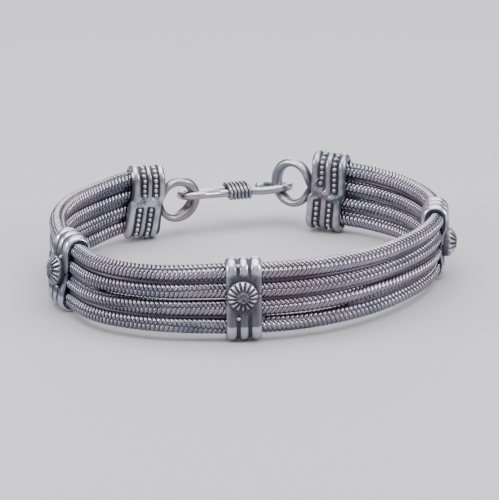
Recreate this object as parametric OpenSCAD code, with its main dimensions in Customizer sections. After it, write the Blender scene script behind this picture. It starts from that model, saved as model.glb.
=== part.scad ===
// Bracelet of four round woven silver chains held one above another by three ribbed
// stations and two beaded end caps, closed by a wire hook between two soldered rings.
// The wrist axis is Z, the clasp is at the back (+Y) and the middle station at the front.

/* [Strands] */
// Diameter of one woven chain
strand_d = 2.64; // [2.2:0.02:2.7]
// Flat sides of a chain's tube
strand_sides = 8; // [6:2:8]

/* [Stations] */
// Length of a station along the chains
station_len = 5.5; // [4.8:0.1:6]
// Thickness of a station from the wrist side to the outer side
station_t = 4.5; // [4.3:0.1:5]
// Wall of a station at the crest of a rib
station_wall = 0.55; // [0.45:0.05:0.6]
// Depth of the grooves between the ribs
groove_depth = 0.28; // [0.15:0.01:0.3]
// Ribs round one station
rib_count = 3; // [2:1:4]

/* [Rosettes] */
// Diameter of a rosette
rosette_d = 4.7; // [4:0.1:5]
// Straight edge under the rosette's dome
rosette_edge = 0.7; // [0.4:0.05:1]
// Rise of the dome above that edge
rosette_rise = 1.15; // [0.8:0.05:1.4]
// Flutes round the dome
flute_count = 16; // [12:1:18]
// Radius of one flute's groove
flute_r = 0.17; // [0.1:0.01:0.2]
// Diameter of the smooth middle of the dome
rosette_eye_d = 1.5; // [1:0.1:1.8]
// Diameter of a granule beside the rosette
granule_d = 0.7; // [0.4:0.05:0.8]

/* [End caps] */
// Thickness of a cap from the wrist side to the outer side
cap_t = 4.8; // [4.6:0.1:5.4]
// Thickness of the cap's sheet under its rims
cap_sheet = 0.45; // [0.3:0.05:0.5]
// Rise of the rims above the sheet
rim_rise = 0.45; // [0.3:0.05:0.5]
// Width of the rim where the chains go in
rim_in_w = 1.6; // [1.2:0.1:1.8]
// Width of the rim at the clasp
rim_out_w = 1.3; // [1:0.1:1.5]
// Diameter of one bead
bead_d = 0.78; // [0.6:0.02:0.84]
// Width of the thin rib between the two bead rows
thin_rib_w = 0.45; // [0.3:0.05:0.6]
// Groove on each side of a bead row
bead_gap = 0.26; // [0.2:0.02:0.34]
// Depth of the end plate behind the clasp-side rim
plate_depth = 0.15; // [0.15:0.05:1.2]
// Thickness of the end plate
plate_t = 0.8; // [0.5:0.1:1]

/* [Hook] */
// Diameter of the hook's wire
hook_d = 1.35; // [1.2:0.05:1.4]
// Half the width of the hook's two bends, between middle lines
bend_r = 1.68; // [1.65:0.01:1.9]
// Roll of the hook, its far leg being the lower one
hook_roll = 9; // [0:1:15]
// Diameter of the binding wire
wrap_d = 0.6; // [0.5:0.02:0.6]
// Distance between turns of the binding
wrap_pitch = 0.66; // [0.64:0.01:0.75]
// Turns of the binding
wrap_turns = 6; // [4:0.5:7]

/* [Hidden] */
$fn = 48;

// The way the stack of four chains takes round the wrist, from the left cap to the right
// one. Columns: x, y, height of the stack's middle, distance between two chains, lean of
// the stack's top towards the wrist.
ROUTE = [
    [-17.0, 20.9, 6.35, 2.66, 4],
    [-21.1, 19.2, 6.75, 2.66, 4],
    [-26.1, 14.4, 6.2, 2.68, 2],
    [-29.7, 8.2, 6.1, 2.7, 0],
    [-31.4, 1.6, 6.1, 2.7, 0],
    [-31.4, -4.8, 6.1, 2.68, 3],
    [-30.3, -11.1, 6.2, 2.66, 7],
    [-27.6, -16.8, 6.2, 2.66, 7],
    [-24.8, -22.0, 6.3, 2.66, 6],
    [-20.5, -25.8, 6.4, 2.66, 3],
    [-13.3, -28.6, 6.6, 2.72, 0],
    [-4.7, -29.0, 6.8, 2.84, 0],
    [1.7, -28.6, 6.8, 2.84, 0],
    [8.4, -26.5, 6.7, 2.84, 0],
    [14.4, -23.1, 6.6, 2.78, 0],
    [19.6, -18.4, 6.4, 2.72, 0],
    [23.9, -12.9, 6.3, 2.68, 0],
    [27.1, -7.4, 6.3, 2.68, -1],
    [28.9, -1.8, 6.3, 2.7, -3],
    [29.3, 4.6, 6.3, 2.7, -3],
    [28.1, 10.8, 6.4, 2.72, -2],
    [24.9, 16.9, 6.5, 2.76, 0],
    [20.2, 21.5, 6.6, 2.8, 0],
    [15.7, 23.8, 6.8, 2.8, 0],
    [11.4, 25.1, 7.1, 2.8, 0]
];
// Stations. Columns: first row of the route inside, height, turn in the plane of the
// wall, lean towards the wrist, lift that the turn and lean need to stand on z = 0,
// height of the rosette above the middle, groove that holds the two granules, heights of
// the granules.
LEFT = [6, 12.6, 2.5, 7, 0.045, 0, 1, 2.45, -2.45];
FRONT = [11, 13.4, -0.5, 0, 0.015, 1.2, -1, 5.73, -2.6];
RIGHT = [18, 12.8, -1, -3, 0.02, -0.4, 1, 2.05, -2.85];
// End caps. Columns: route's inner row, route's entry row, height, turn in the plane of
// the wall, lean to the left of the way to the clasp, lift that these need, ring's middle
// radius, ring's wire, ring's point, turn of the ring, ring's height above the cap's middle.
CAP_L = [0, 1, 12.8, 5, -4, 0.165, 3.1, 1.7, 3.4, 10.5, -0.45];
CAP_R = [24, 23, 13.7, -4, 0, 0.14, 3.4, 1.5, 4, -23, 0.55];

cap_len = rim_in_w + rim_out_w + 2 * bead_d + thin_rib_w + 4 * bead_gap;
cap_half = cap_len / 2;
plate_out = cap_half - plate_depth;
rosette_sink = 0.15;
granule_lift = 0.05;
solder_r = 0.06;
ring_seat = 0.35;
bend_steps = 8;
coil_steps = 18;

silver = [0.72, 0.71, 0.74];
bright_silver = [0.82, 0.81, 0.83];

function route_xy(row) = [ROUTE[row][0], ROUTE[row][1]];
function way(from, to) = (route_xy(to) - route_xy(from)) / norm(route_xy(to) - route_xy(from));
function heading(v) = atan2(v[1], v[0]);

// One row of points round a wire of diameter d at a path's point, square to its way t.
function ring_points(p, t, d, sides) =
    let (side = [t[1], -t[0], 0] / norm([t[1], -t[0], 0]), up = cross(side, t))
    [for (k = [0:sides - 1])
        let (a = 360 * (k + 0.5) / sides)
        p + d / 2 * (cos(a) * side + sin(a) * up)];

function path_way(path, i) =
    let (a = path[max(i - 1, 0)], b = path[min(i + 1, len(path) - 1)])
    (b - a) / norm(b - a);

// A wire of diameter d swept along a path, closed by a flat face at each end.
module swept_wire(path, d, sides) {
    count = len(path);
    points = [for (i = [0:count - 1])
        each ring_points(path[i], path_way(path, i), d, sides)];
    walls = [for (i = [0:count - 2], k = [0:sides - 1])
        let (n = (k + 1) % sides)
        each [[i * sides + k, i * sides + n, (i + 1) * sides + n],
              [i * sides + k, (i + 1) * sides + n, (i + 1) * sides + k]]];
    first_end = [[for (k = [sides - 1:-1:0]) k]];
    last_end = [[for (k = [0:sides - 1]) (count - 1) * sides + k]];
    polyhedron(points = points, faces = concat(walls, first_end, last_end), convexity = 10);
}

// Middle line of one of the four chains, number 1 being the highest.
function strand_path(number) =
    [for (i = [0:len(ROUTE) - 1])
        let (row = ROUTE[i], s = (2.5 - number) * row[3], lean = row[4],
             ahead = way(max(i - 1, 0), min(i + 1, len(ROUTE) - 1)))
        [row[0] - s * sin(lean) * ahead[1], row[1] + s * sin(lean) * ahead[0],
         row[2] + s * cos(lean)]];

module strand(number) {
    color(silver)
        swept_wire(strand_path(number), strand_d, strand_sides);
}

// A profile carried round a flattened tube of height h and thickness t, whose axis is Z
// here and whose long side is Y. The profile's x is measured from the tube's middle.
module round_band(h, t) {
    for (turn = [0, 180])
        rotate([0, 0, turn]) {
            translate([0, (h - t) / 2, 0])
                rotate_extrude(angle = 180)
                    children();
            rotate([90, 0, 0])
                linear_extrude(height = h - t, center = true)
                    children();
        }
}

// Half-round rib of a given width and rise, standing on a wall at x.
module half_round(x, y, w, rise) {
    r = (w * w / 4 + rise * rise) / (2 * rise);
    intersection() {
        translate([x + rise - r, y])
            circle(r);
        translate([x - 0.1, y - w / 2])
            square([rise + 0.2, w]);
    }
}

module station_profile() {
    rib_w = station_len / rib_count;
    sheet = station_wall - groove_depth;
    wall_x = station_t / 2 - station_wall;
    translate([wall_x, -station_len / 2 + 0.1])
        square([sheet, station_len - 0.2]);
    for (i = [0:rib_count - 1])
        half_round(wall_x + sheet, (i + 0.5 - rib_count / 2) * rib_w, rib_w - 0.12, groove_depth);
}

// Domed disc with radial flutes and a smooth middle, soldered on the wall at z = 0.
module rosette() {
    edge_r = rosette_d / 2;
    ball_r = (edge_r * edge_r + rosette_rise * rosette_rise) / (2 * rosette_rise);
    ball_z = rosette_edge + rosette_rise - ball_r;
    eye_r = rosette_eye_d / 2;
    eye_z = ball_z + sqrt(ball_r * ball_r - eye_r * eye_r);
    slope = atan2(eye_z - rosette_edge, edge_r - eye_r);
    run = norm([eye_z - rosette_edge, edge_r - eye_r]);
    difference() {
        intersection() {
            translate([0, 0, -rosette_sink])
                cylinder(r = edge_r, h = rosette_edge + rosette_rise + 0.4);
            translate([0, 0, ball_z])
                sphere(ball_r);
        }
        for (i = [0:flute_count - 1])
            rotate([0, 0, (i + 0.5) * 360 / flute_count])
                translate([eye_r, 0, eye_z])
                    rotate([0, 90 + slope, 0])
                        cylinder(r = flute_r, h = run + 1);
    }
}

// Stations and caps are made with the chains along X, the wrist side towards +Y and Z up.
module place_on(p, z, yaw, slant, lean) {
    translate([p[0], p[1], z])
        rotate([0, 0, yaw])
            rotate([-lean, 0, 0])
                rotate([0, slant, 0])
                    children();
}

// Distance of a groove's bottom from the station's middle plane at a height above its middle.
function groove_y(z, h) =
    let (r = station_t / 2 - groove_depth, over = max(0, abs(z) - (h - station_t) / 2))
    sqrt(r * r - over * over);

module station(spec) {
    row = spec[0];
    middle = (route_xy(row) + route_xy(row + 1)) / 2;
    granule_x = spec[6] * station_len / rib_count / 2;
    color(silver)
        place_on(middle, spec[1] / 2 + spec[4], heading(way(row, row + 1)), spec[2], spec[3]) {
            rotate([90, 0, 90])
                round_band(spec[1], station_t)
                    station_profile();
            translate([0, -station_t / 2 + groove_depth, spec[5]])
                rotate([90, 0, 0])
                    rosette();
            for (z = [spec[7], spec[8]])
                translate([granule_x, -groove_y(z, spec[1]) - granule_lift, z])
                    sphere(granule_d / 2);
        }
}

module cap_profile() {
    sheet_x = cap_t / 2 - rim_rise;
    bead_in = -cap_half + rim_in_w + bead_gap + bead_d / 2;
    rib_mid = bead_in + bead_d / 2 + bead_gap + thin_rib_w / 2;
    translate([sheet_x - cap_sheet, -cap_half + 0.1])
        square([cap_sheet, cap_len - 0.2]);
    half_round(sheet_x, -cap_half + rim_in_w / 2, rim_in_w, rim_rise);
    half_round(sheet_x, rib_mid, thin_rib_w, thin_rib_w / 2 - 0.02);
    half_round(sheet_x, cap_half - rim_out_w / 2, rim_out_w, rim_rise);
}

// Points spaced evenly round the middle line of a flattened tube.
function round_point(s, h, t) =
    let (straight = h - t, turn = PI * t / 2, whole = 2 * (straight + turn), u = s % whole)
    u < straight ? [t / 2, u - straight / 2] :
    u < straight + turn ?
        let (a = (u - straight) / turn * 180) [t / 2 * cos(a), straight / 2 + t / 2 * sin(a)] :
    u < 2 * straight + turn ? [-t / 2, straight * 1.5 + turn - u] :
        let (a = (u - 2 * straight - turn) / turn * 180)
        [-t / 2 * cos(a), -straight / 2 - t / 2 * sin(a)];

module bead_row(h, y) {
    bead_t = cap_t - 2 * rim_rise + 0.2;
    whole = 2 * (h - 2 * rim_rise + 0.2 - bead_t) + PI * bead_t;
    count = floor(whole / (bead_d + 0.1));
    for (i = [0:count - 1])
        let (p = round_point(i * whole / count, h - 2 * rim_rise + 0.2, bead_t))
        translate([p[0], p[1], y])
            rotate([0, 0, p[0] < 0 ? 180 : 0])
                sphere(bead_d / 2);
}

// Wire ring with a point on the end plate, standing in the plane of X and Z.
module soldered_ring(r, wire, point) {
    half_gap = acos(r / point);
    leg = sqrt(point * point - r * r);
    rotate([90, 0, 0])
        rotate_extrude(angle = 360 - 2 * half_gap, start = half_gap - 180)
            translate([r, 0])
                circle(wire / 2);
    for (side = [-1, 1])
        translate([-point, 0, 0])
            rotate([0, 90 + side * (90 - half_gap), 0]) {
                cylinder(d = wire, h = leg);
                translate([0, 0, leg])
                    sphere(wire / 2 + 0.02);
            }
    translate([-point, 0, 0])
        sphere(wire / 2 + solder_r);
}

// Place of a cap's own middle, its heading, and the middle of its ring.
function cap_way(spec) = way(spec[1], spec[0]);
function cap_middle(spec) = route_xy(spec[1]) + cap_way(spec) * (cap_half + 0.1);
function ring_yaw(spec) = heading(cap_way(spec)) + spec[9];
function ring_middle(spec) =
    let (p = cap_middle(spec) + cap_way(spec) * (plate_out + ring_seat), a = ring_yaw(spec))
    [p[0] + spec[8] * cos(a), p[1] + spec[8] * sin(a), spec[2] / 2 + spec[10]];

module cap(spec) {
    h = spec[2];
    p = ring_middle(spec);
    bead_in = -cap_half + rim_in_w + bead_gap + bead_d / 2;
    bead_out = cap_half - rim_out_w - bead_gap - bead_d / 2;
    color(silver) {
        place_on(cap_middle(spec), h / 2 + spec[5], heading(cap_way(spec)), spec[3], spec[4]) {
            rotate([90, 0, 90]) {
                round_band(h, cap_t)
                    cap_profile();
                bead_row(h, bead_in);
                bead_row(h, bead_out);
                translate([0, 0, plate_out - plate_t])
                    linear_extrude(height = plate_t)
                        hull()
                            for (side = [-1, 1])
                                translate([0, side * (h - cap_t) / 2])
                                    circle(cap_t / 2 - rim_rise - 0.1);
            }
        }
        translate(p)
            rotate([0, 0, ring_yaw(spec)])
                soldered_ring(spec[6], spec[7], spec[8]);
    }
}

// The hook joins the far sides of the two rings. It is drawn with u along its bar, from
// the left ring's wire, and v towards the back.
hook_z = [6.3, 6.0];
function ring_far(spec, z) =
    let (p = ring_middle(spec), a = ring_yaw(spec), reach = sqrt(pow(spec[6], 2) - pow(z - p[2], 2)))
    [p[0] + reach * cos(a), p[1] + reach * sin(a), z];
hook_a = ring_far(CAP_L, hook_z[0]);
hook_b = ring_far(CAP_R, hook_z[1]);
hook_span = norm(hook_b - hook_a);
hook_u = (hook_b - hook_a) / hook_span;
hook_v = [-hook_u[1] * cos(hook_roll), hook_u[0] * cos(hook_roll), -sin(hook_roll)];
hook_w = cross(hook_u, hook_v);
// Legs side by side, where they come together, and the binding round them.
leg_gap = 0.1;
leg_v = (hook_d + leg_gap) / 2;
wrap_start = 5.8;
wrap_end = wrap_start + wrap_turns * wrap_pitch;
legs_start = wrap_start - 1;
neck = [legs_start - 1.2, leg_v + 0.18];
short_end = wrap_end + 0.3;
// The eye's own sides, then the sides of the open hook, each as u and v.
eye_side = [0.4, bend_r];
eye_shoulder = [1.6, bend_r - 0.12];
eye_turn = -0.6;
hook_neck = [hook_span - 3.2, -leg_v - 0.12];
hook_shoulder = [hook_span - 1.6, -bend_r + 0.3];
hook_side = [hook_span - 0.3, bend_r];
hook_turn = hook_span + 0.2;
hook_back = [hook_span - 1.8, bend_r - 0.05];
hook_tip = [hook_span - 2.9, bend_r - 0.15];

// Half circle of the hook's wire round a ring, from one leg to the other.
function bend(u, v_from, steps) =
    [for (i = [0:steps])
        let (a = 180 * i / steps)
        [u + (v_from > 0 ? -1 : 1) * bend_r * sin(a), v_from * cos(a)]];

function near_side(p) = [p[0], -p[1]];
function hook_route() = concat(
    [[short_end, leg_v], [legs_start, leg_v], neck, eye_shoulder, eye_side],
    bend(eye_turn, bend_r, bend_steps),
    [near_side(eye_side), near_side(eye_shoulder), near_side(neck)],
    [[legs_start, -leg_v], [wrap_end, -leg_v], hook_neck, hook_shoulder],
    [near_side(hook_side)],
    bend(hook_turn, -bend_r, bend_steps),
    [hook_side, hook_back, hook_tip]
);

function hook_point(p) = hook_a + p[0] * hook_u + p[1] * hook_v;

module hook() {
    color(bright_silver)
        swept_wire([for (p = hook_route()) hook_point(p)], hook_d, 12);
}

// Binding of thinner wire wound round the hook's two legs.
module hook_wrap() {
    r = hook_d / 2 + wrap_d / 2 + 0.04;
    path = [for (i = [0:wrap_turns * coil_steps])
        let (a = 360 * i / coil_steps, side = cos(a))
        hook_a + (wrap_start + wrap_pitch * i / coil_steps) * hook_u
            + (side * r + leg_v * max(-1, min(1, side * 3))) * hook_v
            + r * sin(a) * hook_w];
    color(bright_silver)
        coil_wire(path, wrap_d, 6);
}

// A wire swept along a path that also climbs, kept square by the hook's own direction.
module coil_wire(path, d, sides) {
    count = len(path);
    points = [for (i = [0:count - 1])
        let (t = path_way(path, i),
             across = (hook_u - t * (hook_u * t)) / norm(hook_u - t * (hook_u * t)),
             out = cross(across, t))
        for (k = [0:sides - 1])
            let (a = 360 * k / sides)
            path[i] + d / 2 * (cos(a) * across + sin(a) * out)];
    walls = [for (i = [0:count - 2], k = [0:sides - 1])
        let (n = (k + 1) % sides)
        each [[i * sides + k, i * sides + n, (i + 1) * sides + n],
              [i * sides + k, (i + 1) * sides + n, (i + 1) * sides + k]]];
    first_end = [[for (k = [sides - 1:-1:0]) k]];
    last_end = [[for (k = [0:sides - 1]) (count - 1) * sides + k]];
    polyhedron(points = points, faces = concat(walls, first_end, last_end), convexity = 10);
}

strand(1);  // strand_1
strand(2);  // strand_2
strand(3);  // strand_3
strand(4);  // strand_4
station(LEFT);  // station_left
station(FRONT);  // station_front
station(RIGHT);  // station_right
cap(CAP_L);  // cap_left
cap(CAP_R);  // cap_right
hook();
hook_wrap();
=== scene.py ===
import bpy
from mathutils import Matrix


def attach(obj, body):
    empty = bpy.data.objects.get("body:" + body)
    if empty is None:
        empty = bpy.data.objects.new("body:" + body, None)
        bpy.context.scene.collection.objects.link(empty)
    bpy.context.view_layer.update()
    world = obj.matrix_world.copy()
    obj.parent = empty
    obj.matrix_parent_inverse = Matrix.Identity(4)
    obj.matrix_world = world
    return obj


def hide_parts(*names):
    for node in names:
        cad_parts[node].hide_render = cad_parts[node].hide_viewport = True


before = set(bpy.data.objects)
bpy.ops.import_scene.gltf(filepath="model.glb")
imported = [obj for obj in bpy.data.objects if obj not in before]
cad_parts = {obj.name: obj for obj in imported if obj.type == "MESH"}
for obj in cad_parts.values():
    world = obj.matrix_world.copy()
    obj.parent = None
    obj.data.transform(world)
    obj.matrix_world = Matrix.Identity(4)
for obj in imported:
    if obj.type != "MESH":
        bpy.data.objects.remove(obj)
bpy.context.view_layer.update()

from types import SimpleNamespace
import bpy
import numpy as np
from mathutils import Vector

# Woven chains
# Each chain is fine silver wire, looped link through link into a round rope and drawn to
# size. Four columns of slanting wires show, and two columns meet in a seam of chevrons. The
# stations hold the four chains together, and their ends are set in the caps.

# MM is one millimetre in metres.
MM = 0.001
# The chains lie one above another and keep to one route round the wrist, from the left end
# cap to the right one. Each row is a place where the stack is held or bends. Columns: x, y,
# height of the stack's middle, distance between two chains, and lean of its top in degrees.
ROUTE = np.array([
    (-17.0, 20.9, 6.35, 2.66, 4),
    (-21.1, 19.2, 6.75, 2.66, 4),
    (-26.1, 14.4, 6.2, 2.68, 2),
    (-29.7, 8.2, 6.1, 2.7, 0),
    (-31.2, 1.6, 6.1, 2.7, 0),
    (-31.2, -4.8, 6.1, 2.68, 3),
    (-30.3, -11.1, 6.2, 2.66, 7),
    (-27.6, -16.8, 6.2, 2.66, 7),
    (-24.8, -22.0, 6.3, 2.66, 6),
    (-20.5, -25.8, 6.4, 2.66, 3),
    (-13.3, -28.6, 6.6, 2.72, 0),
    (-4.7, -29.0, 6.8, 2.84, 0),
    (1.7, -28.6, 6.8, 2.84, 0),
    (8.4, -26.5, 6.7, 2.84, 0),
    (14.4, -23.1, 6.6, 2.78, 0),
    (19.6, -18.4, 6.4, 2.72, 0),
    (23.9, -12.9, 6.3, 2.68, 0),
    (27.1, -7.4, 6.3, 2.68, -1),
    (28.9, -1.8, 6.3, 2.7, -3),
    (29.3, 4.6, 6.3, 2.7, -3),
    (28.1, 10.8, 6.4, 2.72, -2),
    (24.9, 16.9, 6.5, 2.76, 0),
    (20.2, 21.5, 6.6, 2.8, 0),
    (15.7, 23.8, 6.8, 2.8, 0),
    (11.4, 25.1, 7.1, 2.8, 0),
])


def unit(v):
    """Each vector divided by its own length."""
    return v / np.linalg.norm(v, axis=-1, keepdims=True)


def smooth_path(points, per_span):
    """A curve through every point: on each span the cubic whose slope at a point is half
    the step from the point before to the point after."""
    points = np.asarray(points, float)
    ends = np.vstack([2 * points[0] - points[1], points, 2 * points[-1] - points[-2]])
    slope = (ends[2:] - ends[:-2]) / 2
    t = (np.arange(per_span) / per_span)[None, :, None]
    p, q, u, v = points[:-1, None], points[1:, None], slope[:-1, None], slope[1:, None]
    curve = (2 * t**3 - 3 * t**2 + 1) * p + (t**3 - 2 * t**2 + t) * u
    curve = curve + (3 * t**2 - 2 * t**3) * q + (t**3 - t**2) * v
    return np.vstack([curve.reshape(-1, points.shape[1]), points[-1]])


def steps(path):
    """Distance along a path from its first point to each point."""
    return np.concatenate([[0], np.cumsum(np.linalg.norm(np.diff(path, axis=0), axis=1))])


def ways(path):
    """Direction of a path at each point, from the point before to the point after."""
    return unit(np.gradient(path, axis=0))


def side_ways(path):
    """Three directions at each point of a path: along it, level and square to it on the outer
    side of the wrist, and square to both."""
    way = ways(path)
    outward = unit(np.cross(way, (0, 0, 1)))
    return way, outward, np.cross(outward, way)


def strand_rows(number):
    """Middle of one chain at each row: the stack's middle, moved up the leaning stack by
    the chain's own number of spacings."""
    ahead = ways(ROUTE[:, :2])
    lift = (2.5 - number) * ROUTE[:, 3]
    lean = np.radians(ROUTE[:, 4])
    return np.column_stack([
        ROUTE[:, 0] - lift * np.sin(lean) * ahead[:, 1],
        ROUTE[:, 1] + lift * np.sin(lean) * ahead[:, 0],
        ROUTE[:, 2] + lift * np.cos(lean),
    ])


# Half the width of a chain, then of a wire where the wires stand one LINK_PITCH apart, half
# its thickness, and how far it dives at a seam.
CHAIN_R = 1.325
LINK_WIDE, LINK_PITCH, LINK_THICK, LINK_DIVE = 0.385, 0.735, 0.3, 0.2
# Radius up to which no wear reaches, and the radius and wear of the dark core.
TARNISH_R, CORE_R, CORE_WEAR = 0.95, 1.12, 0.0
# Points on a path from row to row, of which the core has a ring at every fourth.
SPAN_POINTS, CORE_EACH = 12, 4
# Half the width and height of the dark strip of painted shade between two chains, its wear, and
# the overlap from which it fills the groove.
FILL_WIDE, FILL_HIGH, FILL_WEAR, FILL_FROM = 0.63, 0.3, 0.25, 0.012
# The weave is closer or more stretched from place to place. Columns: route row, distance
# from wire to wire, and how far a wire slants along the chain from seam to seam.
WEAVE = np.array([
    (0, 0.735, 1.0),
    (6, 0.735, 0.8),
    (8, 0.66, 0.6),
    (8.8, 0.63, 0.65),
    (9.7, 0.69, 0.9),
    (10.6, 0.72, 1.2),
    (12.4, 0.73, 1.2),
    (13.3, 0.77, 1.15),
    (15.1, 0.87, 1.15),
    (16, 0.87, 1.1),
    (18, 0.735, 1.0),
    (24, 0.735, 1.0),
])
# Overlap of two neighbours' outlines, negative where daylight shows between them, in
# millimetres. Columns: route row, then chains 1 and 2, 2 and 3, 3 and 4.
CLOSENESS = np.array([
    (0, 0.05, 0.05, 0.05),
    (8.4, 0.08, 0.05, 0.08),
    (8.7, 0.08, -0.08, 0.08),
    (9.1, 0.08, -0.06, 0.08),
    (9.6, 0.08, -0.01, 0.08),
    (11, 0.1, -0.02, 0.08),
    (11.5, 0.1, 0.1, 0.1),
    (12.1, 0.1, 0.02, 0.0),
    (12.7, 0.1, 0.08, -0.03),
    (13.6, 0.08, 0.08, -0.03),
    (14.2, 0.05, 0.05, 0.08),
    (24, 0.05, 0.05, 0.05),
])
# Turn of each chain about its own line, as the angle of one seam above the outer side, in
# degrees. Columns: route row, then chains 1 to 4.
SEAM_TURN = np.array([
    (0, 20, 30, 10, 0),
    (6, 36, -10, -45, 5),
    (8.3, 38, -5, -39, 7),
    (9.3, 38, 2, -11, 6),
    (10, 43, 8, 16, 9),
    (10.8, 49, 19, 19, -11),
    (12.1, 41, 13, 20, -43),
    (13.4, 31, 0, 30, -64),
    (14.8, 31, 13, 68, -65),
    (18, 50, 20, 40, -50),
    (24, 60, 40, 30, -40),
])


def linear(code):
    """Linear colour with alpha 1 of an sRGB hex code: s / 12.92 up to 0.04045, and above it
    ((s + 0.055) / 1.055) to the power 2.4."""
    s = np.array([int(code[i:i + 2], 16) for i in (1, 3, 5)]) / 255
    return (*np.where(s <= 0.04045, s / 12.92, ((s + 0.055) / 1.055) ** 2.4), 1.0)


def grid_faces(rows, columns, close_rows=False):
    """Quads between neighbouring points of a grid whose columns run round in a ring."""
    r = np.arange(rows if close_rows else rows - 1)[:, None]
    c = np.arange(columns)[None, :]
    below, above = r * columns, (r + 1) % rows * columns
    n = (c + 1) % columns
    quads = np.stack([below + c, below + n, above + n, above + c], axis=-1)
    return quads.reshape(-1, 4)


def add_mesh(name, points, quads, triangles=None, **marks):
    """A smooth-shaded mesh in metres from points in millimetres, with marks per point such
    as its wear."""
    mesh = bpy.data.meshes.new(name)
    faces = quads.tolist() + ([] if triangles is None else triangles.tolist())
    mesh.from_pydata(points * MM, [], faces)
    mesh.shade_smooth()
    for mark, values in marks.items():
        layer = mesh.attributes.new(mark, "FLOAT", "POINT")
        layer.data.foreach_set("value", np.asarray(values, np.float32))
    obj = bpy.data.objects.new(name, mesh)
    bpy.context.scene.collection.objects.link(obj)
    return obj


def capped_tubes(rings, middles):
    """Faces of many like tubes given as rings[tube, ring, side] and two end points each:
    quads along the walls and a fan of triangles over each end."""
    tubes, along, sides = rings.shape[:3]
    count = along * sides
    points = np.concatenate([rings.reshape(tubes, count, 3), middles], axis=1)
    base = (np.arange(tubes) * (count + 2))[:, None, None]
    quads = (grid_faces(along, sides)[None] + base).reshape(-1, 4)
    k = np.arange(sides)
    n = (k + 1) % sides
    start = np.stack([n, k, np.full(sides, count)], axis=-1)
    last = (along - 1) * sides
    end = np.stack([last + k, last + n, np.full(sides, count + 1)], axis=-1)
    triangles = (np.vstack([start, end])[None] + base).reshape(-1, 3)
    return points.reshape(-1, 3), quads, triangles


def facing_out(points, quads, triangles):
    """The same faces, each turned over if together they enclose a negative volume, which
    is the sum of the corner products of all the triangles."""
    corners = np.vstack([quads[:, [0, 1, 2]], quads[:, [0, 2, 3]], triangles])
    a, b, c = (points[corners[:, i]] for i in range(3))
    if np.einsum("ij,ij->", a, np.cross(b, c)) < 0:
        quads, triangles = quads[:, ::-1], triangles[:, ::-1]
    return quads, triangles


def add_piece(name, parts, material, node):
    """One object from closed parts, with its material, riding the body in place of a CAD
    node. Each part has points, quads, triangles, wear and, if it has any, stain, and each
    of the last two is one for the whole part or one a point."""
    shift, rows = 0, ([], [], [], [], [])
    for points, quads, triangles, wear, *stain in parts:
        quads, triangles = facing_out(points, quads, triangles)
        marks = (np.broadcast_to(mark, len(points)) for mark in (wear, stain[0] if stain else 0.0))
        for row, value in zip(rows, (points, quads + shift, triangles + shift, *marks)):
            row.append(value)
        shift += len(points)
    points, quads, triangles = (np.vstack(row) for row in rows[:3])
    wear, stain = (np.concatenate(row) for row in rows[3:])
    obj = add_mesh(name, points, quads, triangles, wear=wear, stain=stain)
    obj.data.materials.append(material)
    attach(obj, "root")
    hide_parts(node)


def ramp(x, low, high):
    """0 below low, 1 above high, and 3t^2 - 2t^3 of the share t between them."""
    t = np.clip((x - low) / (high - low), 0, 1)
    return t * t * (3 - 2 * t)


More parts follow.
